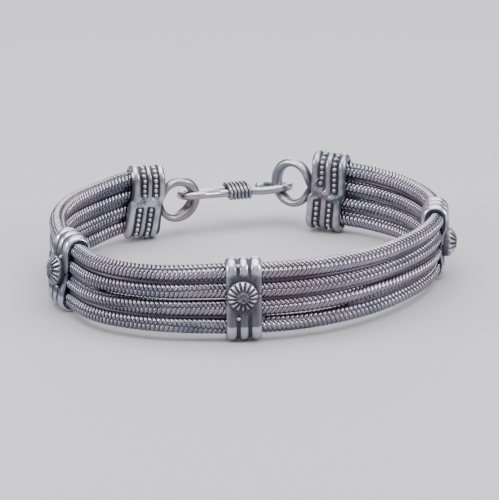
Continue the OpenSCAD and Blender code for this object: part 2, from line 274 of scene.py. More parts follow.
def link_wires(number, path, swell):
    """The wires of a chain with their wear. A wire keeps to the chain's surface: it climbs
    a quarter turn while it runs along by the slant, dives under at both seams, and has an
    oval section, wide along the surface and thin across it. The first and the last wire
    stand inset from the ends. The chain's radius grows by the swell of its lower and upper
    side. The wires on the sides covered by the chains above and below, and at the front of
    the bracelet, are drawn darker as painted shade."""
    inset = 1
    s = steps(path)
    t_way, outward, up = side_ways(path)
    rows = np.linspace(0, len(ROUTE) - 1, len(path))
    turn = np.radians(np.interp(rows, SEAM_TURN[:, 0], SEAM_TURN[:, number]))
    pitch, slant = (np.interp(rows, WEAVE[:, 0], WEAVE[:, k]) for k in (1, 2))
    passed = np.concatenate([[0], np.cumsum(2 * np.diff(s) / (pitch[1:] + pitch[:-1]))])
    first = np.interp(inset, s, passed)
    count = int(np.interp(s[-1] - inset, s, passed) - first - 0.5)
    bend = np.array([-0.07, 0.0, 0.08, 0.36, 0.64, 0.92, 1.0, 1.07])
    side = np.linspace(0, 2 * np.pi, 8, endpoint=False)
    crown = np.sign(np.cos(side)) * np.abs(np.cos(side)) ** 0.8
    all_rings, all_ends, all_wear = [], [], []
    for column in range(4):
        run = 1 if column % 2 else -1
        s0 = np.interp(first + np.arange(count) + 0.5 * (column % 2), passed, s)
        reach = run * np.interp(s0, s, slant)[:, None]
        sk = s0[:, None] + reach * (bend - 0.5)

        def at(values):
            """Vectors of the whole path read off, each part linearly, at the rings' places."""
            return np.stack([np.interp(sk, s, values[:, i]) for i in range(3)], axis=-1)

        a = np.interp(sk, s, turn) + np.pi / 2 * (column + bend)
        middle, b, u, t = at(path), at(outward), at(up), at(t_way)
        rise = np.cos(a)[..., None] * b + np.sin(a)[..., None] * u
        round_way = -np.sin(a)[..., None] * b + np.cos(a)[..., None] * u
        ease = np.minimum(np.abs(2 * bend - 1) ** 9, 1.6)
        upper = (1 + np.sin(a)) / 2
        fuller = np.interp(sk, s, swell[0]) * (1 - upper) + np.interp(sk, s, swell[1]) * upper
        radius = CHAIN_R - LINK_THICK - LINK_DIVE * ease + fuller
        along = unit(round_way * CHAIN_R * np.pi / 2 + t * reach[..., None])
        wide = np.cross(rise, along)
        thin = (1 - 0.3 * ease)[None, :, None, None]
        ring = thin * LINK_THICK * crown[None, None, :, None] * rise[:, :, None]
        half = LINK_WIDE * np.interp(s0, s, pitch)[:, None, None, None] / LINK_PITCH
        ring = ring + thin * half * np.sin(side)[None, None, :, None] * wide[:, :, None]
        centre = middle + radius[..., None] * rise
        all_rings.append(centre[:, :, None] + ring)
        all_ends.append(centre[:, [0, -1]])
        height = radius[..., None] + thin[..., 0] * LINK_THICK * crown
        edge = np.clip((height - TARNISH_R) / (CHAIN_R - TARNISH_R), 0, 1)
        # Painted shade: the wires facing the chains above and below, most on the outer side, and the
        # wires at the front of the bracelet lose some wear and are drawn darker.
        hidden = (number > 1) * ramp(np.sin(a), 0.8, 0.98)
        hidden = hidden + (number < 4) * ramp(-np.sin(a), 0.6, 0.95)
        hidden = hidden * (0.55 + 0.25 * np.sign(np.cos(a)))
        front = ramp(-middle[..., 1], 18.5, 25)
        painted_shade = 0.3 * hidden + 0.09 * front
        edge = (edge * (1 - painted_shade)[..., None]).reshape(count, -1)
        all_wear.append(np.concatenate([edge, np.zeros((count, 2))], axis=1))
    wires = capped_tubes(np.concatenate(all_rings), np.concatenate(all_ends))
    return *wires, np.concatenate(all_wear).ravel()


def add_node(tree, kind, settings=None, inputs=None, stops=()):
    """One shader node with its settings, its inputs as values or other nodes' outputs, and
    a colour ramp's stops as (place, hex) pairs."""
    node = tree.nodes.new(kind)
    for key, value in (settings or {}).items():
        setattr(node, key, value)
    for key, value in (inputs or {}).items():
        if isinstance(value, bpy.types.NodeSocket):
            tree.links.new(value, node.inputs[key])
        else:
            node.inputs[key].default_value = value
    while stops and len(node.color_ramp.elements) < len(stops):
        node.color_ramp.elements.new(0.5)
    for k, (place, code) in enumerate(stops):
        node.color_ramp.elements[k].position = place
        node.color_ramp.elements[k].color = linear(code)
    return node


def oxidised_silver(name, stops, rough_deep, rough_worn, grain_mm, grain_depth, blotch=0.3):
    """Sterling silver blackened with liver of sulphur and rubbed back: the recesses stay
    dark and dull, the crests show bright metal with a soft satin grain and faint tints.
    Wear below 0 is thick tarnish that no cloth reaches, a dull plum grey. Tarnish gathers
    in clouds some 4 mm wide, and warm and cool tints change over some 11 mm. The satin
    grain of worn silver is finer than 0.05 mm, and is drawn coarser so that it shows."""
    cloud_mm, tint_mm = 3.85, 11.1
    material = bpy.data.materials.new(name)
    material.use_nodes = True
    tree = material.node_tree
    shader = tree.nodes["Principled BSDF"]
    place = add_node(tree, "ShaderNodeTexCoord").outputs["Object"]
    wear = add_node(tree, "ShaderNodeAttribute", {"attribute_name": "wear"}).outputs["Fac"]
    cloud = add_node(tree, "ShaderNodeTexNoise", None,
                     {"Vector": place, "Scale": 1 / (cloud_mm * MM), "Detail": 4.0,
                      "Roughness": 0.6})
    spread = add_node(tree, "ShaderNodeMath", {"operation": "MULTIPLY_ADD"},
                      {0: cloud.outputs["Fac"], 1: blotch, 2: -0.5 * blotch})
    level = add_node(tree, "ShaderNodeMath", {"operation": "ADD", "use_clamp": True},
                     {0: wear, 1: spread.outputs[0]})
    coat = add_node(tree, "ShaderNodeValToRGB", None, {"Fac": level.outputs[0]}, stops)
    tint = add_node(tree, "ShaderNodeTexNoise", None,
                    {"Vector": place, "Scale": 1 / (tint_mm * MM), "Detail": 2.0})
    hue = add_node(tree, "ShaderNodeValToRGB", None, {"Fac": tint.outputs["Fac"]},
                   [(0.36, "#c8d2dc"), (0.5, "#ffffff"), (0.66, "#f2dfe2")])
    thick = add_node(tree, "ShaderNodeMapRange", None,
                     {"Value": wear, "From Min": 0.0, "From Max": -0.5})
    plum = add_node(tree, "ShaderNodeMix", {"data_type": "RGBA"},
                    {"Factor": thick.outputs["Result"], "A": coat.outputs["Color"],
                     "B": linear("#77707f")})
    mixed = add_node(tree, "ShaderNodeMix", {"data_type": "RGBA", "blend_type": "MULTIPLY"},
                     {"Factor": 0.6, "A": plum.outputs["Result"], "B": hue.outputs["Color"]})
    stain = add_node(tree, "ShaderNodeAttribute", {"attribute_name": "stain"}).outputs["Fac"]
    share = add_node(tree, "ShaderNodeMapRange", None, {"Value": stain, "From Min": -1.0})
    crust = add_node(tree, "ShaderNodeValToRGB", None, {"Fac": share.outputs["Result"]},
                     [(0.0, "#86b0a4"), (0.5, "#ffffff"), (1.0, "#dcc3a8")])
    stained = add_node(tree, "ShaderNodeMix", {"data_type": "RGBA", "blend_type": "MULTIPLY"},
                       {"Factor": 1.0, "A": mixed.outputs["Result"], "B": crust.outputs["Color"]})
    tree.links.new(stained.outputs["Result"], shader.inputs["Base Color"])
    rough = add_node(tree, "ShaderNodeMapRange", None,
                     {"Value": level.outputs[0], "To Min": rough_deep, "To Max": rough_worn})
    tree.links.new(rough.outputs["Result"], shader.inputs["Roughness"])
    bare = add_node(tree, "ShaderNodeMapRange", None,
                    {"Value": level.outputs[0], "From Max": 0.55, "To Min": 0.15})
    tree.links.new(bare.outputs["Result"], shader.inputs["Metallic"])
    grain = add_node(tree, "ShaderNodeTexNoise", None,
                     {"Vector": place, "Scale": 1 / (grain_mm * MM), "Detail": 3.0})
    bump = add_node(tree, "ShaderNodeBump", None,
                    {"Height": grain.outputs["Fac"], "Strength": 0.5,
                     "Distance": grain_depth * MM})
    tree.links.new(bump.outputs["Normal"], shader.inputs["Normal"])
    return material


# Drawn sterling wire, woven and oxidised: plum dark between the wires, and a soft grey shine
# along the crest of each.
CHAIN_STOPS = [(0.0, "#6a5f72"), (0.3, "#4a4252"), (0.7, "#66626d"), (1.0, "#9a96a0")]
chain_silver = oxidised_silver("drawn silver wire oxidised", CHAIN_STOPS, rough_deep=0.55,
                               rough_worn=0.22, grain_mm=0.12, grain_depth=0.01)


def dark_core(path, swell):
    """The inside of a chain, black with tarnish, as a round tube under the wires: rings of
    ten points at even angles."""
    side = np.linspace(0, 2 * np.pi, 10, endpoint=False)
    middle = path[::CORE_EACH]
    _, outward, up = side_ways(middle)
    ring = np.cos(side)[None, :, None] * outward[:, None] + np.sin(side)[None, :, None] * up[:, None]
    rings = middle[:, None] + (CORE_R + swell[::CORE_EACH])[:, None, None] * ring
    return *capped_tubes(rings[None], path[[0, -1]][None]), CORE_WEAR


def crevice_shade_strips(path, below, closeness):
    """Painted shade in the groove between two touching chains: dark strips of square section
    on the line where they meet, left out where daylight shows."""
    middle = (path + below)[::CORE_EACH] / 2
    _, outward, up = side_ways(middle)
    corner = np.array([(FILL_WIDE, FILL_HIGH), (-FILL_WIDE, FILL_HIGH),
                       (-FILL_WIDE, -FILL_HIGH), (FILL_WIDE, -FILL_HIGH)])
    rings = middle[:, None] + corner[:, :1] * outward[:, None] + corner[:, 1:] * up[:, None]
    touching = np.flatnonzero(closeness[::CORE_EACH] > FILL_FROM)
    runs = np.split(touching, np.flatnonzero(np.diff(touching) > 1) + 1)
    return [(*capped_tubes(rings[run][None], middle[run[[0, -1]]][None]), FILL_WEAR) for run in runs]


for number in (1, 2, 3, 4):
    path = smooth_path(strand_rows(number), SPAN_POINTS)
    rows = np.linspace(0, len(ROUTE) - 1, len(path))
    swell = np.interp(rows, range(len(ROUTE)), ROUTE[:, 3]) / 2 - CHAIN_R
    close = [np.interp(rows, CLOSENESS[:, 0], CLOSENESS[:, min(max(gap, 1), 3)])
             for gap in (number, number - 1)]
    parts = [link_wires(number, path, (swell + close[0] / 2, swell + close[1] / 2)),
             dark_core(path, swell)]
    # Below each chain but the last, dark strips of painted shade fill the groove to the next chain.
    if number < 4:
        below = smooth_path(strand_rows(number + 1), SPAN_POINTS)
        parts += crevice_shade_strips(path, below, close[0])
    add_piece(f"chain_{number}", parts, chain_silver, f"strand_{number}")

# Stations
# A station is a sleeve of silver round all four chains: three half-round wires soldered
# side by side, bent to a flat oval, its ends meeting under a stamped rosette on the outer
# side. Grains of silver sit in a groove above and below the rosette.

# Thickness of a sleeve over both sides, of its wall with the ribs, and the ribs' depth.
STATION_THICK, STATION_WALL, RIB_DEEP = 4.5, 0.6, 0.38
# Middle, width and rise of each rib.
RIBS = ((-1.9, 1.7, RIB_DEEP), (0, 1.4, RIB_DEEP), (1.9, 1.7, RIB_DEEP))
# Radius and edge of the rosette, half the width and the depth of a flute, and radius of the
# eye in the middle.
ROSETTE_R, ROSETTE_EDGE, PETALS = 2.35, 0.7, 16
FLUTE_HALF, FLUTE_DEEP, EYE_R = 0.23, 0.3, 0.66
# Radius of the grains, their distance from the middle along the sleeve, and how far grains
# and rosette sit inside the sleeve's full thickness.
GRAIN_R, GRAIN_ASIDE, SEAT_DEEP = 0.35, 0.88, 0.28
# The inner surface of a sleeve or cap has seven rows: three inside one mouth, the middle, and
# three inside the other. Their depths, the share by which each narrows to SNUG_R, and their
# wear, which is thick tarnish inside the lips.
MOUTH_DEPTHS, SNUG_R = np.array([0.05, 0.2, 0.5]), 1.15
BORE_NARROW = np.array([0, 0.6, 1, 1, 1, 0.6, 0])
BORE_WEAR = np.array([0.0, -0.5, -0.5, -0.5, -0.5, -0.5, 0.0])
# A closed sleeve or ring has walls alone.
NO_TRIANGLES = np.zeros((0, 3), int)


def turned(points, axis, degrees):
    """Points turned about one axis through the origin: the two other coordinates change
    by the cosine and sine of the turn."""
    a = np.radians(degrees)
    i, j = (axis + 1) % 3, (axis + 2) % 3
    out = points.copy()
    out[..., i] = np.cos(a) * points[..., i] - np.sin(a) * points[..., j]
    out[..., j] = np.sin(a) * points[..., i] + np.cos(a) * points[..., j]
    return out


def place_on(points, middle, yaw, slant, lean):
    """Points of a sleeve set on the chains: slanted about Y, leaned about X, turned about
    Z to the chains' own way, then moved to the middle."""
    return turned(turned(turned(points, 1, slant), 0, -lean), 2, yaw) + np.asarray(middle)


def ripple(a, b, seed):
    """Uneven hand work between about -1 and 1: a sum of sines of two coordinates."""
    wave = np.random.default_rng(seed).uniform(0.6, 2.6, (6, 3))
    sign = np.random.default_rng(seed + 1).choice([-1, 1], (6, 2))
    total = sum(np.sin(w[0] * g[0] * a + w[1] * g[1] * b + 6 * w[2]) for w, g in zip(wave, sign))
    return total / 3


def flat_oval(high, thick, count, soft=0):
    """Even steps round a flat oval, from the middle of its -Y side over the top. Gives the
    height of the oval's inner line and the outward direction (y, z): the straight sides
    keep one direction, and the half circles keep one height. Above the middle both are
    averaged over some steps each way, so that a side runs softly into the top."""
    straight, bend = high - thick, np.pi * thick / 2
    whole = 2 * (straight + bend)
    q = (np.arange(count) / count * whole + straight / 2) % whole
    corners = [0, straight, straight + bend, 2 * straight + bend, whole]
    height = np.interp(q, corners, np.array([-1, 1, 1, -1, -1]) * straight / 2)
    angle = np.interp(q, corners, [0, 0, np.pi, np.pi, 2 * np.pi])
    upper = ramp(height, 0, straight / 4)
    window = np.ones(2 * soft + 1) / (2 * soft + 1)
    height, angle = (upper * np.convolve(np.pad(v, soft, "edge"), window, "valid")
                     + (1 - upper) * v for v in (height, angle))
    return height, -np.cos(angle), np.sin(angle)


def rib_profile(ribs, wall, rib_steps=9):
    """Outer outline across half-round ribs given as (middle, width, rise): x, height above
    the sheet as rise * sin(t)^1.4 while x goes as -cos(t), and the share of the full rise.
    The two outer edges roll down past the sheet by the wall, and count as full for wear."""
    t = np.linspace(0, np.pi, rib_steps + 1)
    x = np.concatenate([m - w / 2 * np.cos(t) for m, w, _ in ribs])
    share = np.tile(np.sin(t) ** 1.4, len(ribs))
    rise = np.repeat([r for _, _, r in ribs], rib_steps + 1)
    height = rise * share
    half = (rib_steps + 1) // 2
    for edge in (slice(0, half), slice(-half, None)):
        height[edge] -= wall * (1 - share[edge])
        share[edge] = 1
    return x, height, share


def band(oval, x, rho, inner_rho, shift=0.0):
    """A sleeve round a flat oval: the outer surface at distance rho from the oval's inner
    line, and the inner surface back at its own distance, one for all or one a row, which
    narrows behind each mouth till it meets the chains. Rows run round the oval."""
    height, dy, dz = (v[:, None] for v in oval)
    back = np.concatenate([x[-1] - MOUTH_DEPTHS, [(x[0] + x[-1]) / 2],
                           (x[0] + MOUTH_DEPTHS)[::-1]])
    all_x = np.broadcast_to(np.append(x, back), (len(height), len(x) + len(back))) + shift
    narrow = BORE_NARROW * np.maximum(inner_rho - SNUG_R, 0)
    all_rho = np.hstack([rho, inner_rho - narrow + np.zeros((len(rho), len(back)))])
    points = np.stack([all_x, all_rho * dy, height + all_rho * dz], axis=-1)
    return points.reshape(-1, 3), grid_faces(*all_x.shape, close_rows=True)


def ribbed_sleeve(station):
    """The sleeve of a station with its wear. Its outer surface follows the ribs, which the
    rosette presses flat. At the rosette's height it dips along the joint as a bell curve,
    below that it lies a step lower, and thereabouts it is drawn in."""
    high, eye = station.high, station.eye
    x, height, share = rib_profile(RIBS, STATION_WALL - RIB_DEEP - 0.05)
    oval = flat_oval(high, STATION_THICK, 300, 14)
    z = oval[0] + STATION_THICK / 2 * oval[2]
    outer = (oval[1] < -0.3)[:, None]
    calm = station.flat * (1 - ramp(np.abs(z - eye), 2.3, 4.2))[:, None] * outer
    calm = calm * (np.abs(x) < 1.95)[None, :]
    ribbed = height[None, :] * (1 - calm) + (RIB_DEEP - 0.08) * calm
    joint = np.exp(-((z - eye) / 0.13) ** 2)[:, None] * outer
    fall = station.step * (1 - ramp(z - eye, -0.4, 0.4))[:, None] * outer
    fall = fall * ramp(z + high / 2, 0, 3)[:, None]
    uneven = 0.012 * ripple(x[None, :], 1.2 * z[:, None] + oval[1][:, None], 5 + station.row)
    waist = station.pinch * (1 - ramp(np.abs(z - eye), 1.4, 3.4))[:, None] * outer
    rho = STATION_THICK / 2 - RIB_DEEP + ribbed - 0.3 * joint - fall - waist + uneven - 0.02
    points, quads = band(oval, x, rho, STATION_THICK / 2 - STATION_WALL - 0.7 * waist)

    # Tarnish is left round the rosette, in the grooves and along the joint. The bends at the top
    # and bottom are lighter and the upright face between them darker: partly real rubbing, partly
    # painted light, with painted shade on the face and a painted reflection of the floor on the
    # lower bend.
    away = np.hypot(x[None, :] - station.aside, (z - eye)[:, None])
    upright = (np.abs(z - eye)[:, None] / np.maximum(away, 0.1)) ** 6
    rough = ripple(5 * x[None, :], 5 * z[:, None], 11 + station.row)
    halo = ramp(away + 0.2 * rough - 0.45 * upright, 2.3, 2.85)
    # Painted light by height: the top and lower bends are lightened and the face darkened, on top of
    # real rubbing.
    polish_and_painted_light = (ramp(z, high / 2 - 2.9, high / 2 - 1.8)
              + 0.8 * ramp(-z, high / 2 - 2.95, high / 2 - 2.55))[:, None]
    polish_and_painted_light = 0.5 + 0.5 * polish_and_painted_light + 0.22 * (1 - polish_and_painted_light) * ramp(np.abs(x), 2.0, 2.6)[None, :]
    polish_and_painted_light = np.where(outer, polish_and_painted_light, 0.95)
    dull = calm * (0.7 + 0.25 * rough)
    wear = np.where(outer, 0.3 + 0.7 * halo, 1.0) * (dull + (1 - calm) * ramp(share, 0.05, 0.6)[None, :])
    wear = wear * polish_and_painted_light
    wear = np.hstack([wear * (1 - 0.8 * joint), np.tile(BORE_WEAR, (len(z), 1))])
    return points, quads, NO_TRIANGLES, wear.ravel()


def rosette(station):
    """A domed disc with its wear and stain. Height is the edge plus the rise times
    (1 - s^2)^0.85 at the share s of the radius; sixteen flutes of one width sink it between
    the eye and the rim, and the eye is nearly flat and rough. The disc is then turned to
    face outwards, with its foot sunk in the sleeve."""
    edge = ROSETTE_EDGE + station.pinch
    low = np.array([(2.3, -0.15), (2.36, 0.15), (2.37, edge - 0.3), (2.35, edge - 0.12)])
    inner = ROSETTE_R * np.linspace(0.985, 0.03, 26)
    r = np.concatenate([low[:, 0], inner])[:, None]
    a = np.linspace(0, 2 * np.pi, PETALS * 14, endpoint=False)[None, :]
    flute = np.abs((a * PETALS / (2 * np.pi)) % 1 - 0.5) * 2 * np.pi / PETALS * r
    flute = np.clip(1 - (flute / (FLUTE_HALF * (0.75 + 0.25 * r / ROSETTE_R))) ** 2, 0, 1) ** 0.7
    reach = ramp(r, EYE_R, EYE_R + 0.55) * (1 - 0.45 * ramp(r, ROSETTE_R - 0.3, ROSETTE_R))
    flute = flute * reach
    dome = edge + station.rise * np.maximum(1 - (np.maximum(r, EYE_R) / ROSETTE_R) ** 2, 0) ** 0.85
    top = dome - FLUTE_DEEP * flute
    count = len(low)
    z = np.vstack([np.repeat(low[:, 1:], a.size, axis=1), top[count:]])
    bite = 1 - 0.045 * flute
    bite[:count] = 1 - 0.03 * flute[:count] * np.linspace(0, 1, count)[:, None]
    reached = r * bite
    rings = np.stack([reached * np.cos(a), reached * np.sin(a), z], axis=-1)
    mottle = ripple(4 * reached * np.cos(a), 4 * reached * np.sin(a), 71)
    eye = 1 - ramp(r, EYE_R, EYE_R + 1.1)
    rings[..., 2] += 0.02 * mottle * eye * (r < ROSETTE_R)
    wear = (1 - 0.9 * ramp(flute, 0.1, 0.5)) * (0.88 - (0.3 - 0.15 * mottle) * eye)
    wear[:count] = [[0.05], [0.3], [0.5], [0.75]]
    ends = np.array([(0, 0, -0.15), (0, 0, rings[-1, :, 2].mean())])
    wear = np.append(wear.ravel(), [0.0, 0.58])
    stain = np.append((-0.25 * eye + 0 * a).ravel(), [0.0, -0.25])
    foot = np.array([station.aside, -STATION_THICK / 2 + SEAT_DEEP + station.pinch, station.eye])
    rings, ends = (turned(v, 0, 90) + foot for v in (rings, ends))
    return *capped_tubes(rings[None], ends[None]), wear, stain


def balls(centres, radius):
    """Round grains: eight rings of twelve points at even angles between two poles."""
    sides, rings = 12, 8
    v = np.linspace(0, np.pi, rings + 2)[1:-1]
    a = np.linspace(0, 2 * np.pi, sides, endpoint=False)
    shape = np.stack([np.outer(np.sin(v), np.cos(a)), np.outer(np.sin(v), np.sin(a)),
                      np.outer(np.cos(v), np.ones(sides))], axis=-1)
    radius = np.broadcast_to(radius, len(centres))[:, None, None, None]
    walls = centres[:, None, None] + radius * shape[None]
    poles = centres[:, None] + radius[:, 0] * np.array([(0, 0, 1), (0, 0, -1)])[None]
    return walls, poles


def groove_grains(station):
    """The two grains of a station with their wear, sunk in a groove of the sleeve, whose
    surface falls back as a circle above and below its straight side."""
    over = np.maximum(0, np.abs(station.grains) - (station.high - STATION_THICK) / 2)
    sunk = np.sqrt((STATION_THICK / 2 - SEAT_DEEP) ** 2 - over**2) + 0.02
    aside = np.full(2, station.side * GRAIN_ASIDE)
    centres = np.stack([aside, -sunk, np.array(station.grains)], axis=-1)
    return *capped_tubes(*balls(centres, GRAIN_R)), 0.9


# Sterling wire soldered and oxidised, then polished by wear: nearly black in the grooves, and
# bright on the ribs with a fine satin grain.
SLEEVE_STOPS = [(0.0, "#352e3b"), (0.3, "#443f4b"), (0.65, "#73737d"), (1.0, "#cbc9d2")]
sleeve_silver = oxidised_silver("soldered silver wire oxidised and polished", SLEEVE_STOPS,
                                rough_deep=0.55, rough_worn=0.3, grain_mm=0.3, grain_depth=0.02)

# row is the route row before the station, high its height, and lift its clearance from the
# ground. Slant and lean are in degrees. aside and eye are the place of the rosette along and
# up, side is the side of the groove with the grains, grains are their heights, and flat is
# how far the rosette flattens the ribs. step is the step of the lower end at the joint, pinch
# how far the sleeve is drawn in by the rosette, and rise the rise of the rosette's dome.
STATIONS = {
    "left": SimpleNamespace(
        row=6, high=12.6, slant=2.5, lean=7, lift=0.045, aside=0, eye=0, side=1,
        grains=(2.45, -2.45), flat=0.6, step=0.15, pinch=0.3, rise=0.88),
    "front": SimpleNamespace(
        row=11, high=13.4, slant=-0.5, lean=0, lift=0.015, aside=-0.25, eye=1.2, side=-1,
        grains=(5.73, -2.6), flat=1.0, step=0.03, pinch=0.0, rise=1.1),
    "right": SimpleNamespace(
        row=18, high=12.8, slant=-1, lean=-3, lift=0.02, aside=0, eye=-0.4, side=1,
        grains=(2.05, -2.85), flat=0.6, step=0.2, pinch=0.45, rise=1.15),
}
for name, station in STATIONS.items():
    way = ROUTE[station.row + 1, :2] - ROUTE[station.row, :2]
    middle = [*(ROUTE[station.row, :2] + way / 2), station.high / 2 + station.lift]
    seat = (middle, np.degrees(np.arctan2(way[1], way[0])), station.slant, station.lean)
    parts = [(place_on(points, *seat), *more) for points, *more in
             (ribbed_sleeve(station), rosette(station), groove_grains(station))]
    add_piece(f"ribbed_sleeve_{name}", parts, sleeve_silver, f"station_{name}")

# End caps
# A cap is a strip of silver with two rows of beads between its rims, bent round the four
# chains to a flat oval and soldered on the wrist side, where its ends meet askew. A plate
# closes the clasp end, and a stout wire ring is soldered on the plate.

# Thickness of a cap over both sides, of its sheet, rise of the rims, width of the outer one,
# and half the width of the strip.
CAP_THICK, CAP_SHEET, RIM_RISE, RIM_OUT, CAP_HALF = 4.8, 0.45, 0.45, 1.3, 2.975
# Width of a bead, its gap to the rim, how far its middle stands off the sheet, and the
# number of places in a row.
BEAD, BEAD_GAP, BEAD_STAND, BEAD_COUNT = 0.78, 0.18, 0.1, 34
# How deep the plate sits in the end of the cap, and its thickness.
PLATE_DEEP, PLATE_THICK = 0.15, 0.8
# A ring's wire is this much wider along the ring's axis than across it.
RING_AXIAL = 1.36


def ring_loop(r, point, count):
    """Closed path of a ring pulled to a point on its -X side, in X and Z: the circle, and
    the two straight lines from the point that touch it. Also its in-plane outward way."""
    gap = np.arccos(r / point)
    a = np.linspace(gap - np.pi, np.pi - gap, count)
    arc = np.stack([r * np.cos(a), r * np.sin(a)], axis=-1)
    tip = np.array([[-point, 0.0]])
    leg = np.linspace(0, 1, 6)[1:-1, None]
    path = np.vstack([tip, tip + (arc[0] - tip) * leg, arc, arc[-1] + (tip - arc[-1]) * leg])
    t = unit(np.roll(path, -1, axis=0) - np.roll(path, 1, axis=0))
    return path, np.stack([t[:, 1], -t[:, 0]], axis=-1)


# inner and entry are rows of the route, high is the cap's height, lift its clearance from
# the ground, and wrist the side of the wrist. rim_in is the width of the inner rim, and tone
# the polish. upper and lower are the strip's own slant above and below the solder, and jump
# the step from one of its ends to the other.
# solder_z, solder_half and solder_wear are the height of the solder, half its breadth and its
# polish. drowned is the height above it of the bead that it covers. brown and green are how
# strong the strip's brown stain and its verdigris are, and warm the brown stain of the ring.
# ring_r, wire, point, ring_turn and ring_up are the ring's middle radius, wire, point, turn
# and height above the cap's middle, and roll and thinning are its roll and how far its wire
# thins to its foot.
CAPS = {
    "left": SimpleNamespace(
        inner=0, entry=1, high=12.8, slant=5, lean=-4, lift=0.165, wrist=-1, rim_in=1.5,
        tone=1.0, upper=-5, lower=3, jump=0.55, solder_z=0.7, solder_half=1.05,
        solder_wear=1.0, drowned=None, brown=0.5, green=0.0, warm=0.55,
        ring_r=3.1, wire=1.7, point=3.4, ring_turn=10.5, ring_up=-0.45, roll=6, thinning=0.42),
    "right": SimpleNamespace(
        inner=24, entry=23, high=13.7, slant=-4, lean=0, lift=0.14, wrist=1, rim_in=1.3,
        tone=0.88, upper=3, lower=-1, jump=-0.6, solder_z=-0.4, solder_half=0.8,
        solder_wear=0.84, drowned=2.2, brown=0.0, green=0.8, warm=0.15,
        ring_r=3.4, wire=1.5, point=4, ring_turn=-23, ring_up=0.55, roll=4, thinning=0.22),
}


def bead_places(cap):
    """Places along a cap of its two bead rows, each by one of the rims."""
    return (-CAP_HALF + cap.rim_in + BEAD_GAP + BEAD / 2,
            CAP_HALF - RIM_OUT - BEAD_GAP - BEAD / 2)


def askew(cap, z, near):
    """Shift of the strip along the cap: on the wrist side it leans by its own slant
    above and below the solder and jumps at it; elsewhere it keeps its place."""
    above = z - cap.solder_z
    lean_by = np.where(above > 0, np.tan(np.radians(cap.upper)), np.tan(np.radians(cap.lower))) * above
    return near * (lean_by + cap.jump * (ramp(above, -0.5, 0.5) - 0.5))


def solder_share(cap, x, z, near):
    """How far the solder covers the strip, from 0 to 1: the exponential of minus the fourth
    power of the height over half the breadth, along a ragged line. Where a bead is drowned it
    also floods that bead's row, apart from a round pit about the bead."""
    above = z[:, None] - cap.solder_z
    ragged = above + 0.4 * ripple(x[None, :], 0 * z[:, None], 31 + cap.inner)
    solder = np.exp(-((ragged / cap.solder_half) ** 4))
    if cap.drowned:
        beside = x[None, :] - bead_places(cap)[1]
        flood = ramp(beside, -0.6, -0.2) * ramp(above, -0.5, 0.3) * (1 - ramp(above, 2.6, 3.4))
        solder = np.maximum(solder, flood)
        away = np.hypot(beside, above - cap.drowned)
        pit = np.exp(-((away - 0.6) / 0.14) ** 2) + (away < 0.6)
        solder = solder * (1 - np.minimum(pit, 1))
    return solder * near[:, None] * (np.abs(x) < CAP_HALF - 0.35)[None, :]


def beaded_strip(cap):
    """The strip of a cap without its beads, with its wear and stain. Its outer surface
    follows two rims, two low seats for the beads and the thin rib between them, and goes
    over into lumps where the solder covers them."""
    bead_in, bead_out = bead_places(cap)
    x, height, share = rib_profile([
        (-CAP_HALF + cap.rim_in / 2, cap.rim_in, RIM_RISE),
        (bead_in, BEAD, 0.03),
        ((bead_in + bead_out) / 2, bead_out - bead_in - BEAD - 2 * BEAD_GAP, 0.34),
        (bead_out, BEAD, 0.03),
        (CAP_HALF - RIM_OUT / 2, RIM_OUT, RIM_RISE),
    ], CAP_SHEET - 0.1, 8)
    oval = flat_oval(cap.high, CAP_THICK, 320)
    z = oval[0] + CAP_THICK / 2 * oval[2]
    near = ramp(cap.wrist * oval[1], 0.2, 0.9)
    bumpy = ripple(1.5 * x[None, :], 1.5 * z[:, None], 23 + cap.inner)
    lumpy = bumpy + 0.7 * ripple(5 * x[None, :], 5 * z[:, None], 37 + cap.inner)
    solder = solder_share(cap, x, z, near)
    raised = np.maximum(height, 0) * (1 - solder) + 0.32 * solder
    raised = np.where(height < 0, height, raised) + 0.05 * lumpy * solder + 0.01 * bumpy - 0.015
    rho = CAP_THICK / 2 - RIM_RISE + raised
    shift = askew(cap, z, near)[:, None]
    points, quads = band(oval, x, rho, CAP_THICK / 2 - RIM_RISE - CAP_SHEET, shift)

    # The rims and the rib are rubbed bright, the seats of the beads stay dark, and the stain
    # lies on the wrist side: brown above the solder, or verdigris beside it.
    rim = np.abs(x) > CAP_HALF - 1.25
    wear = np.where(rim, ramp(share, 0.1, 0.6), 0.12 + 0.8 * ramp(height, 0.05, 0.22))[None, :]
    bright = cap.solder_wear + 0.2 * lumpy
    wear = (wear * (1 - solder) + bright * solder) * (0.93 + 0.05 * bumpy)
    wear = np.hstack([cap.tone * wear, np.tile(BORE_WEAR, (len(z), 1))])
    above = z[:, None] - cap.solder_z
    green = np.exp(-((above + 0.3) / 1.5) ** 2) * ramp(-x, 0.6, 1.8)[None, :] * near[:, None]
    stain = cap.brown * ramp(above, 0, 4) * near[:, None] - cap.green * green
    stain = np.hstack([stain, np.zeros((len(z), len(BORE_WEAR)))])
    return points, quads, NO_TRIANGLES, wear.ravel(), stain.ravel()


